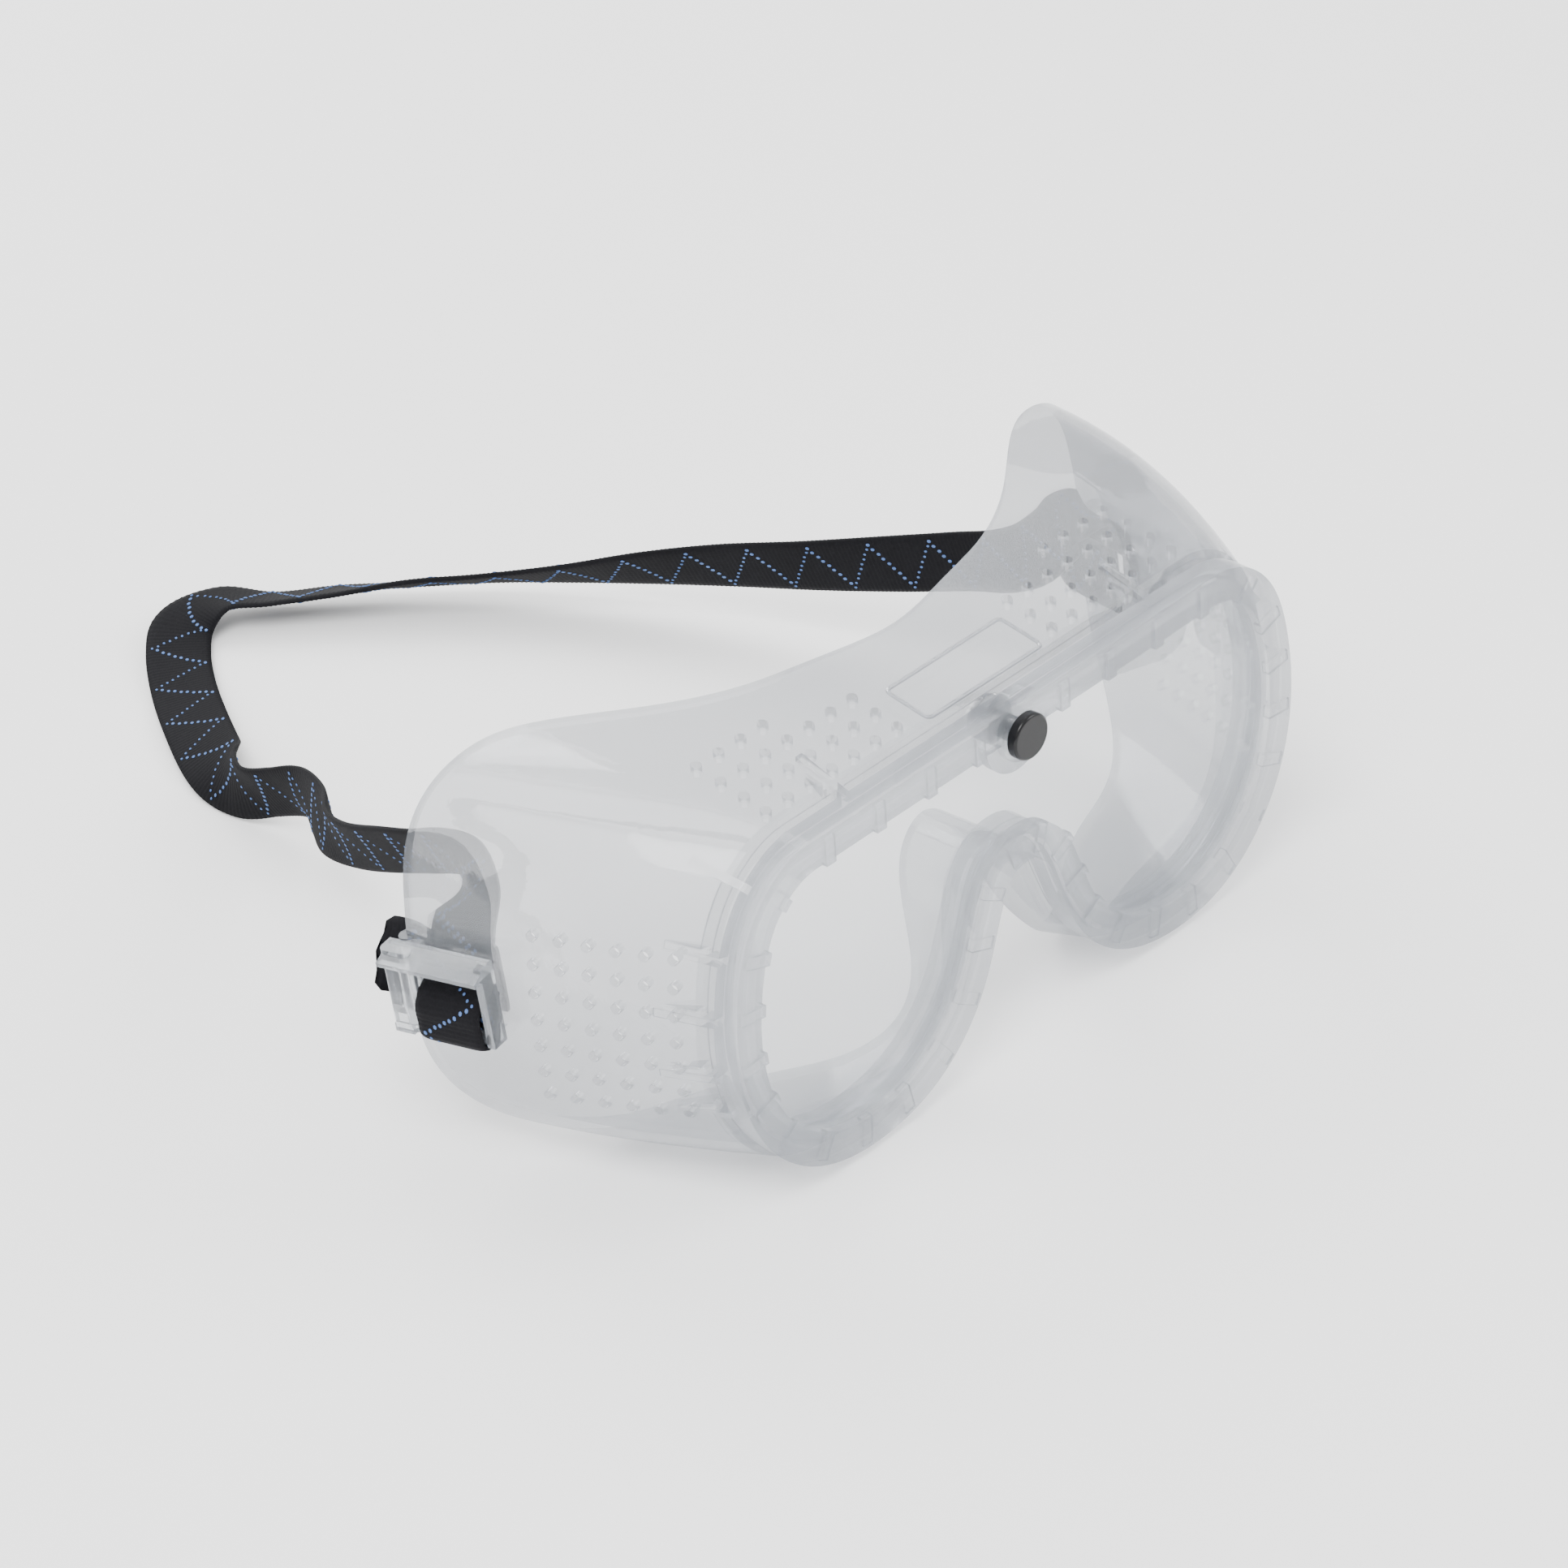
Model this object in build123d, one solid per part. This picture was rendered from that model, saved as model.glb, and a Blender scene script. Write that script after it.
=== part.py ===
from build123d import *
import math
import os

# Safety goggles: a soft clear body with a flat lens in its rim, a press stud over the nose,
# and a webbing head strap folded through two clear buckles that hook on the body's rear edge.
# Millimetres. +Z up, +Y towards the face, +X to the wearer's left.
# The origin is on the front face of the rim, on the centre plane, above the nose.

# ---- rim, groove and lens ----
LIP_WIDTH = 6.0          # rim lip, from the opening to the bead's outside
BEAD_DEPTH = 4.8         # front bead, front to back
NECK_OFFSET = 3.8        # bottom of the channel behind the bead, measured from the opening
LENS_THICKNESS = 2.0
LENS_FRONT = 3.3         # front of the lens, behind the rim face
LENS_OFFSET = 2.8        # how far the lens runs under the lip
LENS_GAP = 0.15          # room round the lens in its groove
REAR_LIP_OFFSET = 0.9    # inner edge of the lip behind the lens
TOP_EDGE = 22.4          # straight top edge of the opening

# ---- body wall ----
WALL = 1.7               # thickness of the body wall
WALL_START = 7.0         # where the wall begins, behind the rim face
WEB_DEPTH = 1.7          # web that joins the rim's neck to the wall
WALL_MIDDLE_Y = 27.0
WALL_REAR_Y = 64.0

# ---- vents, ribs and gussets ----
VENT_R = 0.95
VENT_PITCH = 5.2
TOP_VENT_START = 19.3
TOP_VENT_ROWS = (25.1, 19.7, 14.6, 9.9)
TOP_VENT_Z = 31.0
SIDE_VENT_TOP = 11.4
SIDE_VENT_PITCH = 5.2
SIDE_VENT_FRONT = 10.8
SIDE_VENT_FALL = 0.28     # each column starts this much lower than the one in front of it
SIDE_VENT_SLOPE = 13.2
RIB_W = 2.2
RIB_REACH = 4.8
RIB_PROUD = 0.5
RIB_PLACES = (0.03, 0.1, 0.17, 0.24, 0.31, 0.38, 0.45, 0.52, 0.59, 0.66, 0.73, 0.8, 0.87, 0.94)
TOP_RIBS = (10.6, 22.5, 34.8, 46.8)
GUSSET_T = 1.5
GUSSET_TIP_Y = 14.6
GUSSET_TIP_OFFSET = 9.9
GUSSET_PLACES = (0.655, 0.71, 0.785, 0.86, 0.935)
TOP_GUSSET_X = 37.6

# ---- press stud over the nose ----
STUD_Z = 22.4
STUD_HEAD_R = 4.2
STUD_HEAD_T = 1.8
SHANK_R = 2.2
SHANK_FIT = 0.06
TAB_R = 7.6
TAB_FRONT = 1.2
BOSS_R = 5.0
BOSS_FRONT = -0.3
CAP_R = 4.0
CAP_FRONT = 5.7
CAP_T = 3.4
CAP_ROOM = 0.35

# ---- buckles and the strap round them ----
# Buckle frame: U to the rear along the wall, W outward, V up the edge bead, from its centre.
BEAD_AT = (85.2, 59.2, -5.5)
WALL_SLOPE = 11.5        # the side wall spreads to the rear
EDGE_TILT = 5.5          # the rear edge leans to the rear going up
EDGE_BEAD_R = 1.5
EDGE_BEAD_LEN = 17.0
HOOK_FIT = 0.08
HOOK_R = 3.1
HOOK_LEN = 11.0
HOOK_MOUTH = (7.5, -1.6)
RING_U = (-17.9, 2.6)
RING_V = (-7.2, 8.2)
RING_INSIDE_U = (-16.4, -3.2)
RING_W = (1.4, 4.8)
BAR_R = 1.1
BAR_AT = (3.7, -6.0)     # bottom bar (w, v)
WINDOW_U = (-16.7, -2.9)
WINDOW_V = (-6.0, 6.3)
STRAP_W = 12.6
STRAP_T = 1.2
STRAP_U = -9.8           # the strap's middle in the buckle
ROUTE_STEPS = 3          # sections of the free band between two stations
FOLD_R = 1.8             # bend of the strap's middle round the bottom bar
FOLD_TOP = (-1.9, 5.2)   # where the fold's outgoing end stops, inside the wall (w, v)
FOLD_END = (-2.4, 0.2)   # where its returning end stops (w, v)
# The strap's cut end, inside the wall: place (u, w, v) and how far its top leans inward.
TAIL_STATIONS = (((-14.5, -4.3, 0.2), 0), ((-3.0, -4.4, 0.2), 0), ((3.2, -4.8, 0.2), 14),
                 ((8.0, -4.0, 0.0), 36))

# Half of the rim's opening, from the nose arch round the lower lobe to the top edge (x, z).
OPENING = [(0, 2.7), (6, 1.2), (11.2, -5), (13.6, -11), (18.6, -22), (26, -29), (38, -32.3),
           (50.4, -30), (60.4, -20.4), (64.6, -6), (63.6, 7), (58.5, 18.4), (50, TOP_EDGE)]
# Half outlines of the wall's outside at its start, in the middle and beyond the rear edge.
WALL_FRONT_OUTLINE = [(0, -3.9), (3.2, -4.9), (5.4, -8.4), (7.6, -13.8), (12.8, -25), (22.4, -34.4),
                      (37.5, -38.6), (54, -36), (66.4, -24), (71.2, -6.6), (70.1, 8.6),
                      (63.4, 23), (50, 29.4)]
WALL_MIDDLE_OUTLINE = [(0, -5), (4, -7), (7.5, -13), (9, -20), (11.5, -29.5), (18, -37),
                       (36, -39.1), (57.5, -38.5), (71.8, -31), (78, -13), (77.5, 9),
                       (71.2, 26.8), (54, 32.5)]
WALL_REAR_OUTLINE = [(0, -8), (5, -11), (9, -17), (10.5, -24), (13, -33), (20, -38.4),
                     (42, -39.1), (66, -38.8), (82.4, -33), (86.6, -17.5), (85.9, 7),
                     (78.3, 28.2), (62, 33.2)]

# Rear edge of the wall, seen from above, at rising heights: (x, y) from the centre outward.
REAR_EDGE = {
    -43.0: [(0, 12), (12, 11.5), (24, 15), (45, 27), (58, 31.5), (68, 34), (76, 36.5), (96, 44)],
    -29.0: [(0, 15), (12, 14), (24, 19), (45, 33), (58, 41), (68, 46.5), (78, 51), (96, 54)],
    -18.0: [(0, 20), (14, 19), (28, 25), (45, 36), (56, 44), (67, 53), (78, 57.4), (96, 58.6)],
    -6.0: [(0, 23), (15, 24), (30, 30), (45, 39), (56, 47), (67, 55), (78, 58.7), (96, 59.4)],
    10.0: [(0, 26.5), (16, 29.3), (32, 33.5), (45, 40.5), (55, 48), (65, 55.4), (77, 59.3), (96, 60)],
    26.0: [(0, 28.6), (16, 31.1), (32, 34.7), (45, 41.6), (55, 49.4), (65, 56.6), (77, 59.5), (96, 60)],
    42.0: [(0, 29), (16, 31.5), (32, 35), (45, 42), (55, 50), (65, 57), (77, 59.4), (96, 59)],
}

# Free part of the head strap, laid down behind the goggles and standing on edge beside them:
# middle of the band (x, y, z) and the direction of its width (x, y, z).
STRAP_ROUTE = [
    ((-81.5, 50.55, 1.05), (-0.2, 0.97, -0.1)),
    ((-81.54, 50.76, 3.2), (-0.21, 0.97, -0.13)),
    ((-80.2, 51.5, 5.9), (-0.23, 0.95, -0.23)),
    ((-77.1, 53.1, 8.4), (-0.35, 0.81, -0.47)),
    ((-73.5, 56.6, 9.7), (-0.32, 0.26, -0.91)),
    ((-70.9, 62.3, 8.8), (0.13, -0.3, -0.95)),
    ((-68.9, 69.4, 6.3), (0.46, -0.43, -0.77)),
    ((-67.1, 79.5, 1.5), (0.44, -0.49, -0.75)),
    ((-63.3, 93.9, -6.2), (0.37, -0.51, -0.78)),
    ((-59.1, 105.8, -11.8), (0.17, -0.44, -0.88)),
    ((-52.9, 118.3, -16.5), (-0.26, -0.22, -0.94)),
    ((-46.1, 130.4, -21.2), (-0.17, -0.31, -0.94)),
    ((-41.6, 141.1, -26.1), (0.32, -0.45, -0.83)),
    ((-40.8, 150.7, -30.2), (0.34, -0.36, -0.87)),
    ((-39.4, 160.0, -33.1), (-0.24, -0.15, -0.96)),
    ((-35.0, 170.9, -34.9), (-0.79, 0.31, -0.52)),
    ((-27.4, 184.6, -36.6), (-0.85, 0.48, -0.21)),
    ((-19.1, 198.0, -37.9), (-0.83, 0.56, -0.09)),
    ((-11.0, 208.8, -37.9), (-0.74, 0.67, 0.05)),
    ((-4.2, 214.3, -36.6), (-0.28, 0.96, 0.08)),
    ((4.2, 213.0, -34.8), (0.5, 0.85, -0.16)),
    ((11.0, 205.7, -35.2), (0.68, 0.63, -0.36)),
    ((20.2, 196.1, -34.2), (0.69, 0.6, -0.4)),
    ((29.7, 185.4, -33.1), (0.67, 0.49, -0.56)),
    ((38.7, 173.6, -31.9), (0.7, 0.41, -0.58)),
    ((47.6, 159.5, -29.9), (0.66, 0.29, -0.7)),
    ((56.2, 144.7, -27.2), (0.53, 0.12, -0.84)),
    ((62.9, 130.3, -24.5), (0.41, -0.02, -0.91)),
    ((68.4, 113.6, -21.0), (0.31, -0.12, -0.94)),
    ((73.3, 97.1, -16.8), (0.19, -0.2, -0.96)),
    ((77.2, 83.0, -12.9), (0.11, -0.27, -0.96)),
    ((77.8, 74.0, -9.8), (0.01, -0.41, -0.91)),
    ((77.5, 66.5, -5.4), (-0.06, -0.6, -0.8)),
    ((77.0, 60.8, 0.2), (-0.22, -0.7, -0.68)),
    ((76.6, 57.2, 4.6), (-0.2, -0.73, -0.65)),
    ((76.9, 54.4, 7.4), (-0.77, -0.57, -0.31)),
    ((79.6, 51.9, 6.9), (-0.45, -0.84, 0.3)),
    ((81.3, 51.0, 4.4), (-0.2, -0.97, 0.16)),
    ((81.5, 50.55, 1.05), (-0.2, -0.97, 0.12)),
]


def slab(face, y_front, y_back):
    """A face drawn in the front plane, as a solid from y_front to y_back."""
    moved = Pos(0, y_back, 0) * face
    return extrude(moved, amount=y_back - y_front, dir=(0, -1, 0))


def disc(radius, y_front, y_back, z):
    """A round solid with its axis front to back, on the centre plane."""
    middle = Pos(0, (y_front + y_back) / 2, z)
    return middle * Rot(90, 0, 0) * Cylinder(radius, y_back - y_front)


def level_spline(points):
    """Spline that leaves its first point along +X and reaches its last one along -X."""
    return Spline(*points, tangents=[(1, 0, 0), (-1, 0, 0)], tangent_scalars=[1, 1])


def half_edge(points, offset=0.0):
    """Spline through a half outline, moved outward by offset along its own normals."""
    spline = level_spline([Vector(x, 0, z) for x, z in points])
    if offset == 0:
        return spline
    moved = []
    for step in range(29):
        along = spline.tangent_at(step / 28)
        moved.append(spline.position_at(step / 28) + Vector(along.Z, 0, -along.X) * offset)
    return level_spline(moved)


def outline_face(points, offset=0.0):
    """Closed symmetric outline: two mirrored half splines and the straight top edge."""
    right = half_edge(points, offset)
    left = mirror(right, about=Plane.YZ)
    top = Line(right @ 1, Vector(-(right @ 1).X, 0, (right @ 1).Z))
    return Face(Wire(right.edges() + left.edges() + top.edges()))


def opening_ring(outer_offset, inner_offset, y_front, y_back):
    """A band of the rim between two offsets of the opening."""
    outer = slab(outline_face(OPENING, outer_offset), y_front, y_back)
    inner = slab(outline_face(OPENING, inner_offset), y_front - 1, y_back + 1)
    return outer - inner


def wall_solid(inset):
    """The wall's outside pulled in by inset and lofted from the rim to past the rear edge."""
    sections = []
    for points, y in ((WALL_FRONT_OUTLINE, WALL_START), (WALL_MIDDLE_OUTLINE, WALL_MIDDLE_Y),
                      (WALL_REAR_OUTLINE, WALL_REAR_Y)):
        sections.append(Pos(0, y, 0) * outline_face(points, -inset))
    return loft(sections)


def rear_cutter():
    """Everything behind the line where the body meets the brow, the temples and the cheeks."""
    sections = []
    for z, line in REAR_EDGE.items():
        half = [Vector(x, y, z) for x, y in line]
        mirrored = [Vector(-p.X, p.Y, z) for p in reversed(half[1:])]
        edge = Spline(*(mirrored + half))
        sides = Polyline(edge @ 1, (96, 100, z), (-96, 100, z), edge @ 0)
        sections.append(Face(Wire(edge.edges() + sides.edges())))
    return loft(sections)


def both_sides(solid):
    """A solid and its mirror image in the centre plane."""
    return [solid, mirror(solid, about=Plane.YZ)]


def vent_drills():
    """Drills for the fields of small round vents in the top wall and both side walls."""
    drills = []
    for row, y in enumerate(TOP_VENT_ROWS):
        for column in range(3 if row == 0 else 0, 7):
            place = Pos(TOP_VENT_START + VENT_PITCH * column, y, TOP_VENT_Z)
            drills += both_sides(place * Cylinder(VENT_R, 14))
    turn = Rot(0, 0, -SIDE_VENT_SLOPE) * Rot(0, 90, 0)
    for column in range(6):
        for row in range(7):
            z = SIDE_VENT_TOP - SIDE_VENT_FALL * column - (SIDE_VENT_PITCH + 0.04 * column) * row
            place = Pos(76, SIDE_VENT_FRONT + SIDE_VENT_PITCH * column, z)
            drills += both_sides(place * turn * Cylinder(VENT_R, 34))
    return drills


def radial_plane(fraction):
    """Plane across the rim at a fraction of the half outline: x outward, y to the rear."""
    edge = half_edge(OPENING)
    along = edge.tangent_at(fraction)
    outward = Vector(along.Z, 0, -along.X)
    return Plane(origin=edge.position_at(fraction), x_dir=outward, z_dir=outward.cross(Vector(0, 1, 0)))


def lip_ribs():
    """Small flat ribs across the front of the lip, spaced round the opening."""
    sketch = make_face(Polyline((-0.5, -RIB_PROUD), (RIB_REACH, -RIB_PROUD), (RIB_REACH, 1.0),
                                (-0.5, 1.0), close=True))
    ribs = []
    for fraction in RIB_PLACES:
        ribs += both_sides(extrude(radial_plane(fraction) * sketch, amount=RIB_W / 2, both=True))
    for x in TOP_RIBS:
        place = Pos(x, 0.5 - RIB_PROUD / 2, TOP_EDGE + RIB_REACH / 2 - 0.25)
        ribs += both_sides(place * Box(RIB_W, 1.0 + RIB_PROUD, RIB_REACH + 0.5))
    return ribs


def gussets():
    """Thin blades that bridge the channel behind the bead and die out on the body wall."""
    root = NECK_OFFSET - 1
    side = make_face(Polyline((root, 4.0), (LIP_WIDTH - 0.2, 4.0), (LIP_WIDTH, BEAD_DEPTH),
                              (GUSSET_TIP_OFFSET, GUSSET_TIP_Y), (GUSSET_TIP_OFFSET - 1.9, GUSSET_TIP_Y),
                              (root, WALL_START + 1), close=True))
    blades = []
    for fraction in GUSSET_PLACES:
        blades += both_sides(extrude(radial_plane(fraction) * side, amount=GUSSET_T / 2, both=True))
    top = make_face(Polyline((4.0, TOP_EDGE + root), (4.0, TOP_EDGE + LIP_WIDTH),
                             (GUSSET_TIP_Y, TOP_EDGE + 9.4), (GUSSET_TIP_Y, TOP_EDGE + 7.6),
                             (WALL_START + 1, TOP_EDGE + root), close=True))
    blade = extrude(Plane.YZ.offset(TOP_GUSSET_X) * top, amount=GUSSET_T / 2, both=True)
    return blades + both_sides(blade)


def buckle_place():
    """The buckle frame on the wearer's right: x to the rear, y outward, z up the edge bead."""
    x, y, z = BEAD_AT
    slope = math.radians(WALL_SLOPE)
    tilt = math.radians(EDGE_TILT)
    level = Vector(-math.sin(slope), math.cos(slope), 0)
    rear = level * math.cos(tilt) - Vector(0, 0, math.sin(tilt))
    up = level * math.sin(tilt) + Vector(0, 0, math.cos(tilt))
    return Plane(origin=(-x, y, z), x_dir=rear, z_dir=up).location


def spanning_box(u, w, v):
    """A box between two limits on each axis of the buckle frame."""
    middle = Pos(sum(u) / 2, sum(w) / 2, sum(v) / 2)
    return middle * Box(u[1] - u[0], w[1] - w[0], v[1] - v[0])


def make_body():
    """Rim, groove for the lens, neck, wall with its vents, gussets, stud tab and edge beads."""
    groove_front = LENS_FRONT - LENS_GAP
    groove_back = LENS_FRONT + LENS_THICKNESS + LENS_GAP
    groove_offset = LENS_OFFSET + LENS_GAP
    body = opening_ring(LIP_WIDTH, 0, 0, groove_front)
    body += opening_ring(LIP_WIDTH, groove_offset, groove_front, BEAD_DEPTH)
    body += opening_ring(NECK_OFFSET, groove_offset, BEAD_DEPTH, groove_back)
    web_front = WALL_START + 0.3
    body += opening_ring(NECK_OFFSET, REAR_LIP_OFFSET, groove_back, web_front + 0.5)
    web = slab(outline_face(WALL_FRONT_OUTLINE, -WALL / 2), web_front, web_front + WEB_DEPTH)
    web -= slab(outline_face(OPENING, REAR_LIP_OFFSET), web_front - 1, web_front + WEB_DEPTH + 1)
    body += web + (wall_solid(0) - wall_solid(WALL) - rear_cutter())
    body += gussets()
    body += lip_ribs()
    body += [disc(TAB_R, TAB_FRONT, groove_front, STUD_Z), disc(BOSS_R, BOSS_FRONT, TAB_FRONT + 0.5, STUD_Z)]
    place = buckle_place()
    body -= both_sides(place * spanning_box(WINDOW_U, (-4, 4), WINDOW_V))
    body += both_sides(place * Cylinder(EDGE_BEAD_R, EDGE_BEAD_LEN))
    body -= disc(SHANK_R + SHANK_FIT, BOSS_FRONT - 1, CAP_FRONT, STUD_Z)
    body -= disc(CAP_R + CAP_ROOM, groove_back - 0.1, CAP_FRONT + CAP_T + 1, STUD_Z)
    body -= vent_drills()
    return body


def make_lens():
    """Flat clear lens that fills the groove, with the stud's hole at the top."""
    lens = slab(outline_face(OPENING, LENS_OFFSET), LENS_FRONT, LENS_FRONT + LENS_THICKNESS)
    return lens - disc(SHANK_R + SHANK_FIT, LENS_FRONT - 1, LENS_FRONT + LENS_THICKNESS + 1, STUD_Z)


def make_stud():
    """Press stud: a flat head in front of the boss and a shank with a chamfered tip."""
    head_back = BOSS_FRONT - 0.1
    head = disc(STUD_HEAD_R, head_back - STUD_HEAD_T, head_back, STUD_Z)
    head = fillet(head.edges().group_by(Axis.Y)[0], 0.5)
    shank = disc(SHANK_R, head_back - 0.5, CAP_FRONT + CAP_T - 0.9, STUD_Z)
    shank = chamfer(shank.edges().group_by(Axis.Y)[-1], 0.5)
    return head + shank


def make_cap():
    """Cap behind the lens that the stud's shank snaps into."""
    cap = disc(CAP_R, CAP_FRONT, CAP_FRONT + CAP_T, STUD_Z)
    cap = fillet(cap.edges().group_by(Axis.Y)[-1], 0.8)
    return cap - disc(SHANK_R + SHANK_FIT, CAP_FRONT - 1, CAP_FRONT + CAP_T - 0.6, STUD_Z)


def make_buckle():
    """Clear buckle: a hook along the rear post, a front post, a wedge-shaped top bar, a bottom bar."""
    rear_post = spanning_box((RING_INSIDE_U[1], RING_U[1]), (RING_W[0], RING_W[1] + 0.3), RING_V)
    rear_post = fillet(rear_post.edges().filter_by(Axis.Z).group_by(Axis.Y)[-1], 1.3)
    front_post = spanning_box((RING_U[0], RING_INSIDE_U[0]), RING_W, RING_V)
    wedge = make_face(Polyline((RING_W[0], RING_V[1]), (2.6, RING_V[1] + 0.2), (6.9, 6.7), (6.7, 5.8),
                               (RING_W[0], 5.8), close=True))
    wedge = extrude(Plane.YZ.offset(RING_U[0]) * wedge, amount=RING_U[1] - 0.6 - RING_U[0])
    bar = Pos((RING_U[0] - 2) / 2, *BAR_AT) * Rot(0, 90, 0) * Cylinder(BAR_R, -2 - RING_U[0])
    foot = spanning_box((-1.2, RING_U[1]), (2.2, 4.6), (RING_V[0] - 1.0, RING_V[0] + 0.5))
    mouth = make_face(Polyline((0, 0), (-9, HOOK_MOUTH[0]), (-9, -9), (HOOK_MOUTH[1], -9), close=True))
    hook = Cylinder(HOOK_R, HOOK_LEN) - extrude(mouth, amount=HOOK_LEN, both=True)
    ring = rear_post + front_post + wedge + bar + foot + hook
    return buckle_place() * (ring - Cylinder(EDGE_BEAD_R + HOOK_FIT, 30))


def make_fold():
    """The strap where it comes out through the window, round the bottom bar and back in."""
    bar_w, bar_v = BAR_AT
    outer = bar_w + FOLD_R
    inner = bar_w - FOLD_R
    outgoing = Spline(FOLD_TOP, (1.8, 2.0), (outer, -1.6), tangents=[(0, -1), (0, -1)])
    down = Line((outer, -1.6), (outer, bar_v))
    turn = ThreePointArc((outer, bar_v), (bar_w, bar_v - FOLD_R), (inner, bar_v))
    returning = Spline((inner, bar_v), (0.2, -2.8), FOLD_END, tangents=[(0, 1), (-0.6, 0.8)])
    band = trace(Curve() + [outgoing, down, turn, returning], STRAP_T)
    solid = extrude(Plane.YZ.offset(STRAP_U) * band, amount=STRAP_W / 2, both=True)
    return buckle_place() * solid


def make_tail():
    """Cut end of the strap, inside the wall and reaching past the rear edge."""
    sections = []
    for place, degrees in TAIL_STATIONS:
        lean = math.radians(degrees)
        plane = Plane(origin=place, x_dir=(0, math.cos(lean), math.sin(lean)), z_dir=(1, 0, 0))
        sections.append((plane * Rectangle(STRAP_T, STRAP_W)).face())
    return buckle_place() * loft(sections, ruled=True)


def route_point(places, position):
    """Smooth curve through places: position is a place's number and the fraction to the next."""
    index = min(int(position), len(places) - 2)
    share = position - index
    here, there = places[index], places[index + 1]
    start = (there - places[max(index - 1, 0)]) * 0.5
    end = (places[min(index + 2, len(places) - 1)] - here) * 0.5
    square = share * share
    cube = square * share
    between = here * (2 * cube - 3 * square + 1) + there * (3 * square - 2 * cube)
    return between + start * (cube - 2 * square + share) + end * (cube - square)


def make_strap():
    """The free band from one buckle round the back to the other, through its route's stations."""
    centres = [Vector(*place) for place, _ in STRAP_ROUTE]
    widths = [Vector(*width) for _, width in STRAP_ROUTE]
    last = len(STRAP_ROUTE) - 1
    sections = []
    for step in range(ROUTE_STEPS * last + 1):
        position = step / ROUTE_STEPS
        behind = route_point(centres, max(position - 0.15, 0))
        ahead = (route_point(centres, min(position + 0.15, last)) - behind).normalized()
        across = route_point(widths, position)
        across = across - ahead * across.dot(ahead)
        plane = Plane(origin=route_point(centres, position), x_dir=across, z_dir=ahead)
        sections.append(plane * Rectangle(STRAP_W, STRAP_T).face())
    return loft(sections, ruled=True)


def main():
    """Build every piece and write one STEP file for each."""
    os.makedirs("parts", exist_ok=True)
    buckle_right, buckle_left = both_sides(make_buckle())
    fold_right, fold_left = both_sides(make_fold())
    tail_right, tail_left = both_sides(make_tail())
    pieces = {
        "frame_body": make_body(),
        "lens": make_lens(),
        "press_stud": make_stud(),
        "stud_cap": make_cap(),
        "buckle_left": buckle_left,
        "buckle_right": buckle_right,
        "strap_fold_left": fold_left,
        "strap_fold_right": fold_right,
        "strap_tail_left": tail_left,
        "strap_tail_right": tail_right,
        "head_strap": make_strap(),
    }
    for name, piece in pieces.items():
        export_step(piece, f"parts/{name}.step")


main()
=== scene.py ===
"""Safety goggles: finishes of the moulded pieces, the woven strap, the light and the camera."""
import logging
import math
from dataclasses import dataclass
from enum import Enum

import bpy
from mathutils import Matrix, Vector
from mathutils.bvhtree import BVHTree


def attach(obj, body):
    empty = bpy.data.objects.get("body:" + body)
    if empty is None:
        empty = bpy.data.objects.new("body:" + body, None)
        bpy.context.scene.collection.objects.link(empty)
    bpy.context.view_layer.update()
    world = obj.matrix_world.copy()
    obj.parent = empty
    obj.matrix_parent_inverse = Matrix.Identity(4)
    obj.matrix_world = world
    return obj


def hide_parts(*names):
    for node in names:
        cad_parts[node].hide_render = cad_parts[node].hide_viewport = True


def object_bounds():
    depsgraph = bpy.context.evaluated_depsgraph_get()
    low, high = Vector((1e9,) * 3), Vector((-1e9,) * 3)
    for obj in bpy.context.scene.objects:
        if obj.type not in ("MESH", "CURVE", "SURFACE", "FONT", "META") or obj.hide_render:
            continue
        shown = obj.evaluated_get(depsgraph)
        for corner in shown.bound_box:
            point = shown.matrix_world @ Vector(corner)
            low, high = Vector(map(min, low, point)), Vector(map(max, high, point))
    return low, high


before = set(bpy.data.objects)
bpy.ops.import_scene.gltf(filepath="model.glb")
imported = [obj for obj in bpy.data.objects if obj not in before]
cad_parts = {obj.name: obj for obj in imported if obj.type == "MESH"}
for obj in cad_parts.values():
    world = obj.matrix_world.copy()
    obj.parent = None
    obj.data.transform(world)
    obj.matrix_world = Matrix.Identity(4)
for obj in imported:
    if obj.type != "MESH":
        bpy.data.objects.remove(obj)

CAD_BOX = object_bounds()
MM = 0.001
LOG = logging.getLogger("goggles")

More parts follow.
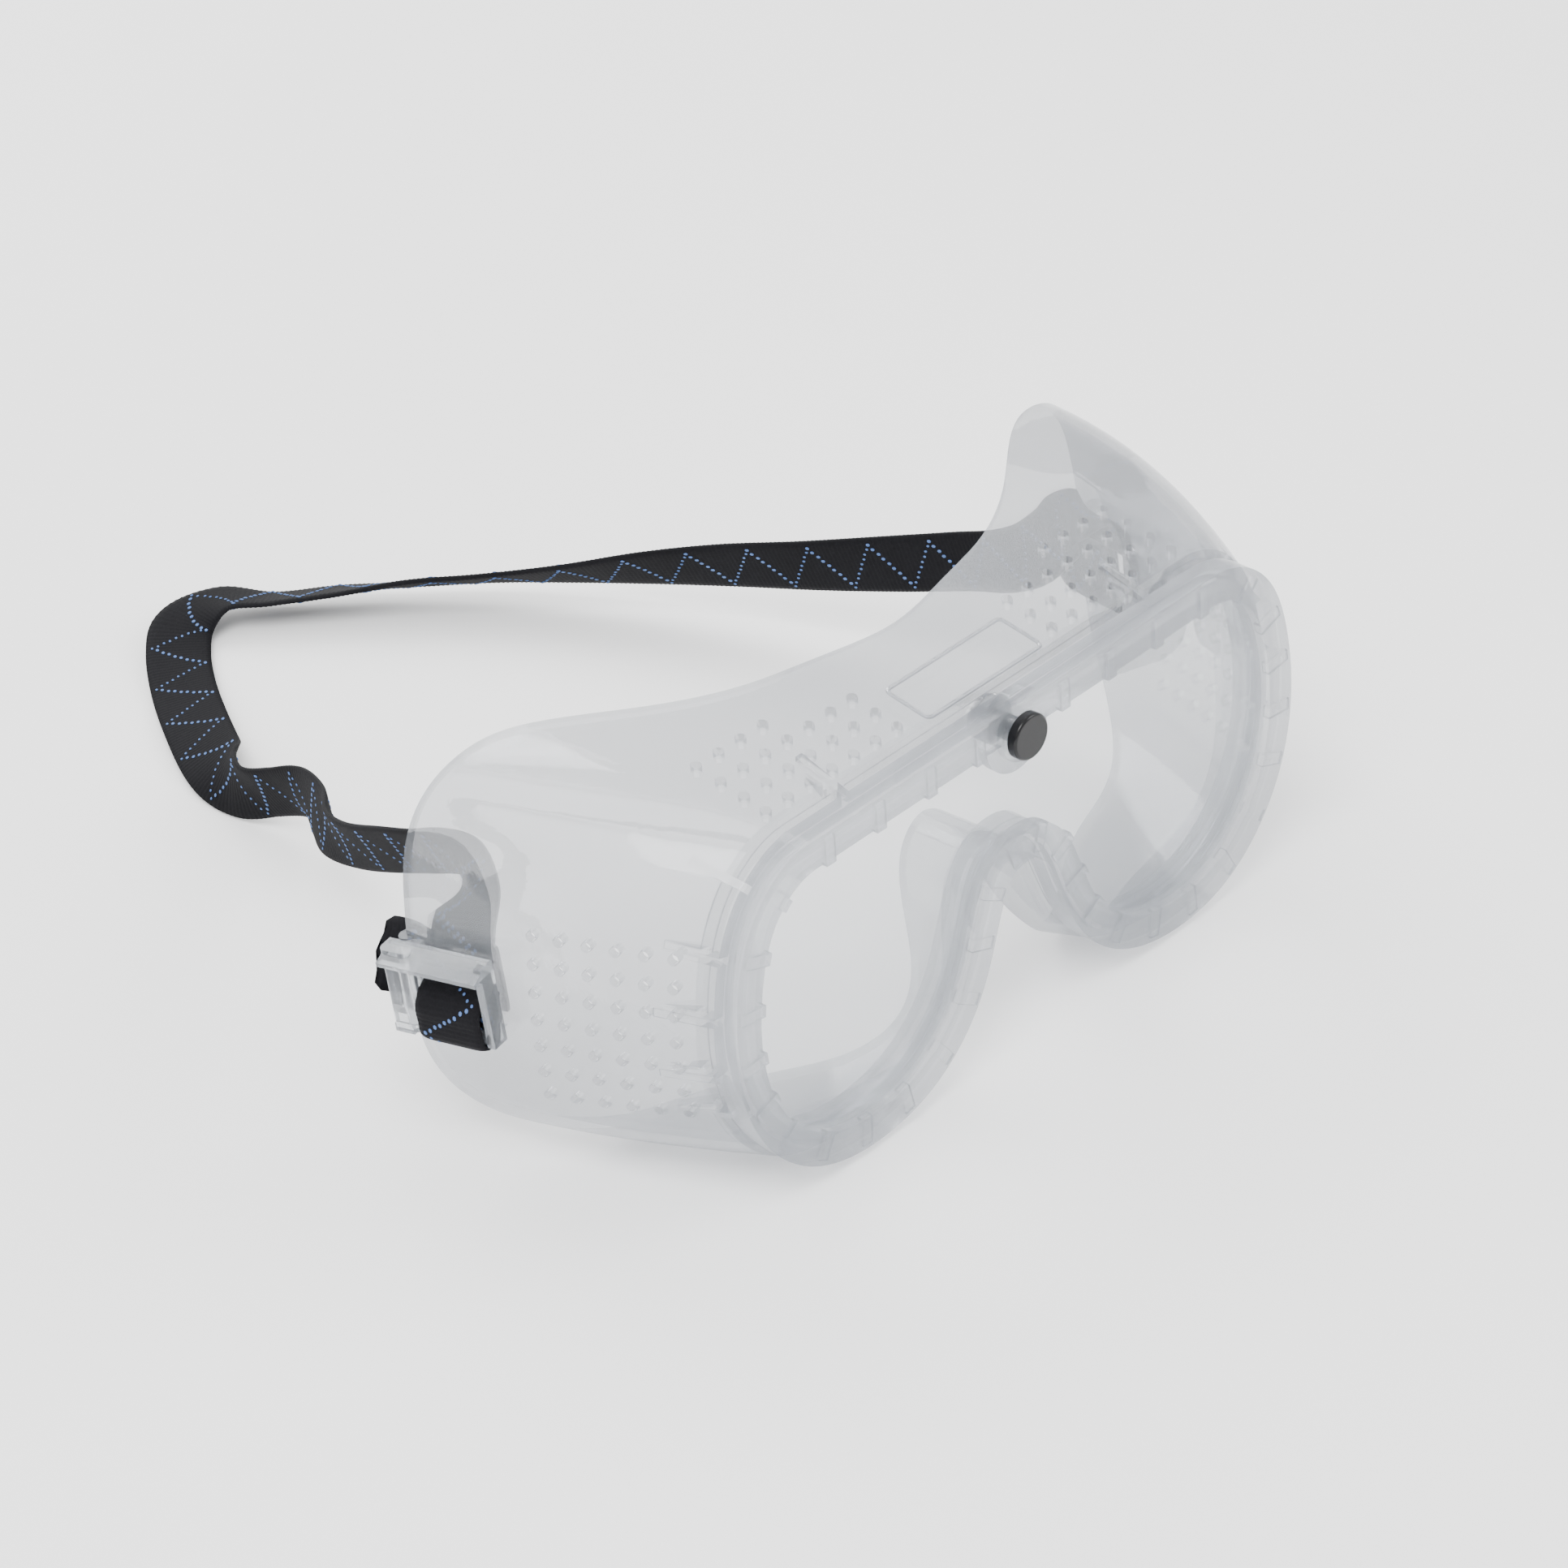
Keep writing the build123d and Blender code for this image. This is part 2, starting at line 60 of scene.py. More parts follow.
# Middle of the free band and the direction of its width, in millimetres.
STRAP_ROUTE = [
    ((-81.5, 50.55, 1.05), (-0.2, 0.97, -0.1)),
    ((-81.54, 50.76, 3.2), (-0.21, 0.97, -0.13)),
    ((-80.2, 51.5, 5.9), (-0.23, 0.95, -0.23)),
    ((-77.1, 53.1, 8.4), (-0.35, 0.81, -0.47)),
    ((-73.5, 56.6, 9.7), (-0.32, 0.26, -0.91)),
    ((-70.9, 62.3, 8.8), (0.13, -0.3, -0.95)),
    ((-68.9, 69.4, 6.3), (0.46, -0.43, -0.77)),
    ((-67.1, 79.5, 1.5), (0.44, -0.49, -0.75)),
    ((-63.3, 93.9, -6.2), (0.37, -0.51, -0.78)),
    ((-59.1, 105.8, -11.8), (0.17, -0.44, -0.88)),
    ((-52.9, 118.3, -16.5), (-0.26, -0.22, -0.94)),
    ((-46.1, 130.4, -21.2), (-0.17, -0.31, -0.94)),
    ((-41.6, 141.1, -26.1), (0.32, -0.45, -0.83)),
    ((-40.8, 150.7, -30.2), (0.34, -0.36, -0.87)),
    ((-39.4, 160.0, -33.1), (-0.24, -0.15, -0.96)),
    ((-35.0, 170.9, -34.9), (-0.79, 0.31, -0.52)),
    ((-27.4, 184.6, -36.6), (-0.85, 0.48, -0.21)),
    ((-19.1, 198.0, -37.9), (-0.83, 0.56, -0.09)),
    ((-11.0, 208.8, -37.9), (-0.74, 0.67, 0.05)),
    ((-4.2, 214.3, -36.6), (-0.28, 0.96, 0.08)),
    ((4.2, 213.0, -34.8), (0.5, 0.85, -0.16)),
    ((11.0, 205.7, -35.2), (0.68, 0.63, -0.36)),
    ((20.2, 196.1, -34.2), (0.69, 0.6, -0.4)),
    ((29.7, 185.4, -33.1), (0.67, 0.49, -0.56)),
    ((38.7, 173.6, -31.9), (0.7, 0.41, -0.58)),
    ((47.6, 159.5, -29.9), (0.66, 0.29, -0.7)),
    ((56.2, 144.7, -27.2), (0.53, 0.12, -0.84)),
    ((62.9, 130.3, -24.5), (0.41, -0.02, -0.91)),
    ((68.4, 113.6, -21.0), (0.31, -0.12, -0.94)),
    ((73.3, 97.1, -16.8), (0.19, -0.2, -0.96)),
    ((77.2, 83.0, -12.9), (0.11, -0.27, -0.96)),
    ((77.8, 74.0, -9.8), (0.01, -0.41, -0.91)),
    ((77.5, 66.5, -5.4), (-0.06, -0.6, -0.8)),
    ((77.0, 60.8, 0.2), (-0.22, -0.7, -0.68)),
    ((76.6, 57.2, 4.6), (-0.2, -0.73, -0.65)),
    ((76.9, 54.4, 7.4), (-0.77, -0.57, -0.31)),
    ((79.6, 51.9, 6.9), (-0.45, -0.84, 0.3)),
    ((81.3, 51.0, 4.4), (-0.2, -0.97, 0.16)),
    ((81.5, 50.55, 1.05), (-0.2, -0.97, 0.12)),
]

BEAD_AT = Vector((-85.2, 59.2, -5.5))
WALL_SLOPE = math.radians(11.5)
EDGE_TILT = math.radians(5.5)
STRAP_U = -9.8
# Line of the fold through the buckle, from the wall's inside round the bottom bar and back (w, v).
FOLD_LINE = [(-1.9, 5.2), (-0.4, 4.3), (1.8, 2.0), (4.1, 0.6), (5.5, -1.6), (5.5, -4.0), (5.5, -6.0),
             (5.0, -7.3), (3.7, -7.8), (2.4, -7.3), (1.9, -6.0), (1.5, -4.4), (0.2, -2.8),
             (-1.2, -1.3), (-2.4, 0.2)]
# The strap's cut end: place (u, w, v) and how far its top leans inward, in degrees.
TAIL_LINE = [((-14.5, -4.3, 0.2), 0), ((-3.0, -4.4, 0.2), 0), ((3.2, -4.8, 0.2), 14),
             ((9.6, -3.2, 0.9), 44)]


# Webbing and stitches, in millimetres.
FINE_STEPS = 40          # steps along a line between two of its points
COLUMNS = 12             # faces across the band
RIB_HEIGHT = 0.06
EDGE_THINNING = 0.45     # how much thinner the band is at its very edges
PINK_REACH = 3.0         # length of the cut end that is shaped into teeth
PINK_TEETH = 3.5         # teeth on half the width
PINK_DEPTH = 1.1
PINK_BULGE = 0.9         # how far the middle of the cut stands past its corners
STITCHES_PER_ZIGZAG = 18
SEAM_START = 1.5         # bare length at either end
SEAM_REACH = 5.1         # how far from the middle the zigzag turns
LONG_STITCH = 0.46       # half length of a stitch on the rising legs
SHORT_STITCH = 0.34      # and on the falling legs
STITCH_HEIGHT = 0.16
# Raised border of the blank panel on the top wall, in millimetres.
PANEL_HALF = 14.2
PANEL_FRONT = 7.6
PANEL_REAR = 17.0
PANEL_CORNER = 1.0
BORDER_PROFILE = ((-0.4, -0.1), (-0.22, 0.28), (0.22, 0.28), (0.4, -0.1))
BORDER_STEP = 0.8
PROBE_HEIGHT = 0.06      # metres above the ground plane, higher than the top wall
# Floor, in millimetres.
FLOOR_RADIUS = 3000
FLOOR_CORNERS = 48
FLOOR_GAP = 0.05


class Side(Enum):
    """Which side of the wearer a piece is on, as the sign of its mirror."""

    RIGHT = 1
    LEFT = -1


class Signal:
    """A shader value that takes part in ordinary arithmetic."""

    def __init__(self, paint: "Paint", socket: bpy.types.NodeSocket) -> None:
        """Wrap one output socket.

        Args:
            paint: the material that the socket belongs to.
            socket: the output socket.
        """
        self.paint = paint
        self.socket = socket

    def _join(self, operation: str, first: object, second: object) -> "Signal":
        """Make a Math node.

        Args:
            operation: the Math node's operation.
            first: the upper input.
            second: the lower input.

        Returns:
            The node's result.
        """
        return self.paint.node("ShaderNodeMath", {"operation": operation}, {0: first, 1: second})

    def __add__(self, other: object) -> "Signal":
        """The sum."""
        return self._join("ADD", self, other)

    def __radd__(self, other: object) -> "Signal":
        """The sum, with the value on the right."""
        return self._join("ADD", other, self)

    def __sub__(self, other: object) -> "Signal":
        """The difference."""
        return self._join("SUBTRACT", self, other)

    def __rsub__(self, other: object) -> "Signal":
        """The difference, with the value on the right."""
        return self._join("SUBTRACT", other, self)

    def __mul__(self, other: object) -> "Signal":
        """The product."""
        return self._join("MULTIPLY", self, other)

    def __rmul__(self, other: object) -> "Signal":
        """The product, with the value on the right."""
        return self._join("MULTIPLY", other, self)


class Paint:
    """A material under construction: makes nodes and links them."""

    def __init__(self, name: str) -> None:
        """Start an empty material.

        Args:
            name: the material's name.
        """
        self.material = bpy.data.materials.new(name)
        self.material.use_nodes = True
        self.tree = self.material.node_tree
        self.tree.nodes.clear()

    def node(self, kind: str, settings: dict | None = None, inputs: dict | None = None,
             output: int | str = 0) -> Signal:
        """Make one node.

        Args:
            kind: the node's type.
            settings: properties of the node.
            inputs: values or signals by socket name or number.
            output: which output to hand back.

        Returns:
            The chosen output.
        """
        made = self.tree.nodes.new(kind)
        for key, value in (settings or {}).items():
            setattr(made, key, value)
        for key, value in (inputs or {}).items():
            if isinstance(value, Signal):
                self.tree.links.new(value.socket, made.inputs[key])
            else:
                made.inputs[key].default_value = value
        return Signal(self, made.outputs[output])

    def place(self) -> Signal:
        """The object's own coordinates."""
        return self.node("ShaderNodeTexCoord", output="Object")

    def noise(self, scale: float, detail: float = 3.0) -> Signal:
        """Noise over the object, from 0 to 1.

        Args:
            scale: how fine it is, per metre.
            detail: octaves.

        Returns:
            The noise.
        """
        inputs = {"Vector": self.place(), "Scale": scale, "Detail": detail}
        return self.node("ShaderNodeTexNoise", None, inputs)

    def blend(self, factor: object, first: tuple, second: tuple) -> Signal:
        """A colour between two.

        Args:
            factor: 0 for the first colour and 1 for the second.
            first: red, green, blue.
            second: red, green, blue.

        Returns:
            The colour.
        """
        inputs = {0: factor, 6: (*first, 1.0), 7: (*second, 1.0)}
        return self.node("ShaderNodeMix", {"data_type": "RGBA"}, inputs, 2)

    def bump(self, height: Signal, strength: float, distance: float) -> Signal:
        """A bumped normal.

        Args:
            height: the relief.
            strength: how much of it shows.
            distance: its depth in metres.

        Returns:
            The normal.
        """
        inputs = {"Height": height, "Strength": strength, "Distance": distance}
        return self.node("ShaderNodeBump", None, inputs)

    def done(self, shader: Signal) -> bpy.types.Material:
        """Link the shader to the material's output.

        Args:
            shader: the finished surface.

        Returns:
            The material.
        """
        surface = self.tree.nodes.new("ShaderNodeOutputMaterial")
        self.tree.links.new(shader.socket, surface.inputs["Surface"])
        return self.material


@dataclass(frozen=True)
class ClearPlastic:
    """See-through plastic with a little haze in it."""

    name: str
    haze: float
    edge: float
    bend: float
    tint: tuple
    clear: tuple
    roughness: float
    relief: float

    def material(self) -> bpy.types.Material:
        """Build the material.

        Returns:
            The finished material.
        """
        paint = Paint(self.name)
        cloud = paint.noise(45.0)
        fine = paint.noise(1400.0, 2.0)
        rim = paint.node("ShaderNodeLayerWeight", None, {"Blend": 0.42}, "Facing")
        colour = paint.blend(cloud, self.tint, tuple(min(1.0, part * 1.15) for part in self.tint))
        skin = paint.node("ShaderNodeBsdfPrincipled", None, {
            "Base Color": colour, "Roughness": self.roughness + fine * 0.1, "IOR": 1.5,
            "Coat Weight": 0.25 + cloud * 0.2, "Normal": paint.bump(fine, 0.25, self.relief)},
            "BSDF")
        through = paint.node("ShaderNodeBsdfTransparent", None, {"Color": (*self.clear, 1.0)})
        bent = paint.node("ShaderNodeBsdfGlass", None, {
            "Color": (*self.clear, 1.0), "IOR": 1.45, "Roughness": self.roughness * 0.5,
            "Normal": paint.bump(fine, 0.2, self.relief)})
        core = paint.node("ShaderNodeMixShader", None, {0: self.bend + cloud * 0.05, 1: through, 2: bent})
        factor = self.haze + rim * rim * self.edge + cloud * 0.05
        mixed = paint.node("ShaderNodeMixShader", None, {0: factor, 1: core, 2: skin})
        return paint.done(mixed)


@dataclass(frozen=True)
class GlossyPlastic:
    """Opaque moulded plastic with a hard shine."""

    name: str
    colour: tuple

    def material(self) -> bpy.types.Material:
        """Build the material.

        Returns:
            The finished material.
        """
        paint = Paint(self.name)
        grain = paint.noise(700.0)
        colour = paint.blend(grain, self.colour, tuple(part * 2.2 for part in self.colour))
        return paint.done(paint.node("ShaderNodeBsdfPrincipled", None, {
            "Base Color": colour, "Roughness": 0.1 + grain * 0.12, "Specular IOR Level": 0.3,
            "Normal": paint.bump(grain, 0.2, 0.00005)}, "BSDF"))


@dataclass(frozen=True)
class Woven:
    """Yarn or webbing."""

    name: str
    colour: tuple
    worn: tuple
    roughness: float

    def material(self) -> bpy.types.Material:
        """Build the material.

        Returns:
            The finished material.
        """
        paint = Paint(self.name)
        fibre = paint.noise(2600.0, 4.0)
        patch = paint.noise(55.0)
        colour = paint.blend(patch * fibre, self.colour, self.worn)
        return paint.done(paint.node("ShaderNodeBsdfPrincipled", None, {
            "Base Color": colour, "Roughness": self.roughness + patch * 0.15,
            "Specular IOR Level": 0.12,
            "Normal": paint.bump(fibre, 0.6, 0.00012)}, "BSDF"))


@dataclass(frozen=True)
class Backdrop:
    """Pale floor."""

    name: str
    colour: tuple

    def material(self) -> bpy.types.Material:
        """Build the material.

        Returns:
            The finished material.
        """
        paint = Paint(self.name)
        grain = paint.noise(30.0)
        lighter = tuple(min(1.0, part * 1.03) for part in self.colour)
        return paint.done(paint.node("ShaderNodeBsdfPrincipled", None, {
            "Base Color": paint.blend(grain, self.colour, lighter),
            "Roughness": 0.9 - grain * 0.1}, "BSDF"))


def add_mesh(name: str, corners: list[Vector], faces: list[tuple],
             material: bpy.types.Material) -> bpy.types.Object:
    """Make a smooth mesh object.

    Args:
        name: the object's name.
        corners: its corners in millimetres.
        faces: corner numbers of each face.
        material: its finish.

    Returns:
        The object.
    """
    data = bpy.data.meshes.new(name)
    data.from_pydata([tuple(corner * MM) for corner in corners], [], faces)
    data.polygons.foreach_set("use_smooth", [True] * len(data.polygons))
    data.materials.append(material)
    made = bpy.data.objects.new(name, data)
    bpy.context.scene.collection.objects.link(made)
    return made


def curve_point(points: list[Vector], place: float) -> Vector:
    """Smooth curve through points.

    Args:
        points: what the curve runs through.
        place: point number and the fraction of the way to the next.

    Returns:
        The position there.
    """
    index = min(int(place), len(points) - 2)
    t = place - index
    before = points[max(index - 1, 0)]
    here = points[index]
    there = points[index + 1]
    after = points[min(index + 2, len(points) - 1)]
    start = (there - before) / 2
    end = (after - here) / 2
    square = t * t
    cube = square * t
    return (here * (2 * cube - 3 * square + 1) + start * (cube - 2 * square + t)
            + there * (3 * square - 2 * cube) + end * (cube - square))


@dataclass
class Band:
    """A length of webbing that follows a line, with its cross ribs and its rows of stitches."""

    name: str
    line: list[Vector]
    widths: list[Vector]
    body: str
    replaced: str
    pinked: bool = False
    half_width: float = 6.3
    half_thick: float = 0.56
    step: float = 0.3
    rib_pitch: float = 0.9
    zigzag: float = 13.2
    offset: float = 0.0

    def frames(self) -> list[tuple[Vector, Vector, Vector, float]]:
        """Lay out sections along the line.

        Returns:
            Middle, width direction, outward direction and length so far of each section.
        """
        last = FINE_STEPS * (len(self.line) - 1)
        fine = [curve_point(self.line, k / FINE_STEPS) for k in range(last + 1)]
        turned = [curve_point(self.widths, k / FINE_STEPS) for k in range(last + 1)]
        lengths = [0.0]
        for first, second in zip(fine, fine[1:]):
            lengths.append(lengths[-1] + (second - first).length)
        count = max(2, round(lengths[-1] / self.step))
        result = []
        k = 0
        for n in range(count + 1):
            want = lengths[-1] * n / count
            while k < len(fine) - 2 and lengths[k + 1] < want:
                k += 1
            share = min(1.0, (want - lengths[k]) / max(1e-9, lengths[k + 1] - lengths[k]))
            middle = fine[k].lerp(fine[k + 1], share)
            ahead = (fine[min(k + 2, len(fine) - 1)] - fine[max(k - 1, 0)]).normalized()
            across = turned[k].lerp(turned[k + 1], share)
            across = (across - ahead * across.dot(ahead)).normalized()
            result.append((middle, across, ahead.cross(across), want))
        return result

    def weave(self, sections: list, material: bpy.types.Material) -> bpy.types.Object:
        """Build the webbing itself.

        Args:
            sections: the laid-out sections.
            material: the webbing's finish.

        Returns:
            The webbing.
        """
        ring = [(-1 + 2 * k / COLUMNS, 1) for k in range(COLUMNS + 1)]
        ring += [(1 - 2 * k / COLUMNS, -1) for k in range(COLUMNS + 1)]
        corners = []
        last = len(sections) - 1
        total = sections[-1][3]
        for n, (middle, across, out, length) in enumerate(sections):
            ahead = across.cross(out)
            rib = RIB_HEIGHT * math.cos(2 * math.pi * length / self.rib_pitch)
            for share, face in ring:
                thick = self.half_thick * (1 - EDGE_THINNING * abs(share) ** 10) + rib
                point = middle + across * (share * self.half_width) + out * (face * thick)
                if self.pinked and total - length < PINK_REACH:
                    fade = 1 - (total - length) / PINK_REACH
                    tooth = abs((share * PINK_TEETH) % 1.0 - 0.5) * 2 - 0.5
                    point += ahead * (fade * (PINK_DEPTH * tooth - PINK_BULGE * share * share))
                corners.append(point)
        size = len(ring)
        faces = []
        for n in range(last):
            for k in range(size):
                after = (k + 1) % size
                low = n * size
                high = low + size
                faces.append((low + k, low + after, high + after, high + k))
        faces.append(tuple(range(size)))
        faces.append(tuple(reversed(range(last * size, (last + 1) * size))))
        return add_mesh(self.name, corners, faces, material)

    def sew(self, sections: list, material: bpy.types.Material) -> bpy.types.Object:
        """Build the dotted zigzag of stitches on both faces.

        Args:
            sections: the laid-out sections.
            material: the thread's finish.

        Returns:
            The stitches.
        """
        corners = []
        faces = []
        total = sections[-1][3]
        pitch = self.zigzag / STITCHES_PER_ZIGZAG
        for n in range(int((total - 2 * SEAM_START) / pitch)):
            length = SEAM_START + n * pitch
            phase = ((length + self.offset) / self.zigzag) % 1.0
            share = 1 - abs(phase * 2 - 1) * 2
            middle, across, out, _ = sections[round(length / total * (len(sections) - 1))]
            ahead = across.cross(out)
            size = LONG_STITCH if phase < 0.5 else SHORT_STITCH
            for face in (1, -1):
                centre = middle + across * (share * SEAM_REACH) + out * (face * self.half_thick)
                self.knot(corners, faces, centre, ahead * size, across * size * 0.8,
                          out * face * STITCH_HEIGHT)
        return add_mesh(self.name + "_stitches", corners, faces, material)

    @staticmethod
    def knot(corners: list, faces: list, centre: Vector, along: Vector, across: Vector,
             out: Vector) -> None:
        """Add one small rounded stitch.

        Args:
            corners: the mesh's corners so far.
            faces: the mesh's faces so far.
            centre: where the stitch sits.
            along: its half length.
            across: its half width.
            out: its height.
        """
        start = len(corners)
        for height, reach in ((-0.6, 0.8), (0.3, 1.0), (0.8, 0.6)):
            for k in range(6):
                angle = math.pi * k / 3
                flat = along * math.cos(angle) + across * math.sin(angle)
                corners.append(centre + flat * reach + out * height)
        corners.append(centre + out)
        for level in (0, 6):
            for k in range(6):
                after = (k + 1) % 6
                faces.append((start + level + k, start + level + after,
                              start + level + 6 + after, start + level + 6 + k))
        for k in range(6):
            faces.append((start + 12 + k, start + 12 + (k + 1) % 6, start + 18))
        faces.append(tuple(start + 5 - k for k in range(6)))

    def build(self, webbing: bpy.types.Material, thread: bpy.types.Material) -> None:
        """Build the band, hand it to its body and let it stand for its node.

        Args:
            webbing: the webbing's finish.
            thread: the stitches' finish.
        """
        sections = self.frames()
        for piece in (self.weave(sections, webbing), self.sew(sections, thread)):
            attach(piece, self.body)
            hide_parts(self.replaced)
            LOG.info("%s rides %s", piece.name, self.body)


@dataclass
class BuckleFrame:
    """The buckle's own directions: rear along the wall, outward, and up the edge bead."""

    side: Side

    def point(self, u: float, w: float, v: float) -> Vector:
        """A place in the buckle's directions.

        Args:
            u: distance to the rear.
            w: distance outward.
            v: distance up.

        Returns:
            The place in the object's frame.
        """
        return self.mirrored(BEAD_AT + self.direction(u, w, v))

    def turned(self, u: float, w: float, v: float) -> Vector:
        """A direction in the buckle's directions, mirrored to its side."""
        return self.mirrored(self.direction(u, w, v))

    def mirrored(self, place: Vector) -> Vector:
        """The place or direction on this side of the wearer."""
        return Vector((place.x * self.side.value, place.y, place.z))

    @staticmethod
    def direction(u: float, w: float, v: float) -> Vector:
        """Add up the three directions on the wearer's right.

        Args:
            u: part to the rear.
            w: part outward.
            v: part up.

        Returns:
            The sum.
        """
        level = Vector((-math.sin(WALL_SLOPE), math.cos(WALL_SLOPE), 0))
        upright = Vector((0, 0, 1))
        rear = level * math.cos(EDGE_TILT) - upright * math.sin(EDGE_TILT)
        up = level * math.sin(EDGE_TILT) + upright * math.cos(EDGE_TILT)
        return rear * u + up.cross(rear) * w + up * v


@dataclass
class HeadStrap:
    """The whole strap: free band, a fold through each buckle and the two cut ends."""

    webbing: Woven
    thread: Woven

    def bands(self) -> list[Band]:
        """Lay out every length of webbing.

        Returns:
            The bands.
        """
        line = [Vector(place) for place, _ in STRAP_ROUTE]
        widths = [Vector(width) for _, width in STRAP_ROUTE]
        bands = [Band("strap_band", line, widths, "frame", "head_strap")]
        for side, word in ((Side.RIGHT, "right"), (Side.LEFT, "left")):
            buckle = BuckleFrame(side)
            fold = [buckle.point(STRAP_U, w, v) for w, v in FOLD_LINE]
            rear = [buckle.turned(1, 0, 0)] * len(fold)
            bands.append(Band(f"strap_loop_{word}", fold, rear, f"{word}_buckle",
                              f"strap_fold_{word}", offset=5.0))
            tail = [buckle.point(*place) for place, _ in TAIL_LINE]
            lean = [math.radians(degrees) for _, degrees in TAIL_LINE]
            widths = [buckle.turned(0, math.sin(-angle), math.cos(angle)) for angle in lean]
            bands.append(Band(f"strap_end_{word}", tail, widths, "frame", f"strap_tail_{word}",
                              pinked=True, offset=2.0))
        return bands

    def build(self) -> None:
        """Build every length of webbing with its stitches."""
        webbing = self.webbing.material()
        thread = self.thread.material()
        for band in self.bands():
            band.build(webbing, thread)


@dataclass
class Mouldings:
    """The moulded pieces: body, lens, press stud, its cap and the buckles."""

    body: ClearPlastic
    lens: ClearPlastic
    buckle: ClearPlastic
    stud: GlossyPlastic
    cap: ClearPlastic

    def build(self) -> None:
        """Dress every moulded node and add the raised panel."""
        finishes = {"frame_body": self.body, "lens": self.lens, "press_stud": self.stud,
                    "stud_cap": self.cap, "buckle_left": self.buckle, "buckle_right": self.buckle}
        made = {}
        for node, finish in finishes.items():
            if finish.name not in made:
                made[finish.name] = finish.material()
            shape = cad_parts[node]
            shape.data.materials.clear()
            shape.data.materials.append(made[finish.name])
            LOG.info("%s is %s", node, finish.name)
        self.panel(made[self.body.name])

    def panel(self, material: bpy.types.Material) -> None:
        """Add the raised border of the blank panel on the top wall.

        Args:
            material: the body's finish.
        """
        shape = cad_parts["frame_body"]
        tree = BVHTree.FromPolygons([shape.matrix_world @ v.co for v in shape.data.vertices],
                                    [tuple(p.vertices) for p in shape.data.polygons])
        loop = self.outline(PANEL_HALF, PANEL_FRONT, PANEL_REAR, PANEL_CORNER)
        corners = []
        for n, (x, y) in enumerate(loop):
            before = Vector(loop[n - 1])
            after = Vector(loop[(n + 1) % len(loop)])
            side = (after - before).orthogonal().normalized()
            for across, height in BORDER_PROFILE:
                px = x + side.x * across
                py = y + side.y * across
                above = Vector((px * MM, py * MM, PROBE_HEIGHT))
                hit = tree.ray_cast(above, Vector((0, 0, -1)))[0]
                corners.append(Vector((px, py, hit.z / MM + height)))
        faces = []
        size = len(BORDER_PROFILE)
        for n in range(len(loop)):
            following = (n + 1) % len(loop)
            for k in range(size):
                after = (k + 1) % size
                faces.append((n * size + k, n * size + after,
                              following * size + after, following * size + k))
        border = add_mesh("panel_border", corners, faces, material)
        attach(border, "frame")
        LOG.info("panel_border rides frame")

    @staticmethod
    def outline(half: float, front: float, rear: float, radius: float) -> list[tuple[float, float]]:
        """Points round a rectangle with rounded corners.

        Args:
            half: half of its width.
            front: where it starts, front to back.
            rear: where it ends.
            radius: of its corners.

        Returns:
            The points in order.
        """
        points = []
        for sign_x, sign_y, turn in ((1, 1, 0), (-1, 1, 90), (-1, -1, 180), (1, -1, 270)):
            middle_x = sign_x * (half - radius)
            middle_y = (rear - radius) if sign_y > 0 else (front + radius)
            for k in range(7):
                angle = math.radians(turn + 15 * k)
                points.append((middle_x + radius * math.cos(angle), middle_y + radius * math.sin(angle)))
        filled = []
        for n, here in enumerate(points):
            there = points[(n + 1) % len(points)]
            count = max(1, round(math.dist(here, there) / BORDER_STEP))
            for k in range(count):
                share = k / count
                filled.append((here[0] + (there[0] - here[0]) * share,
                               here[1] + (there[1] - here[1]) * share))
        return filled


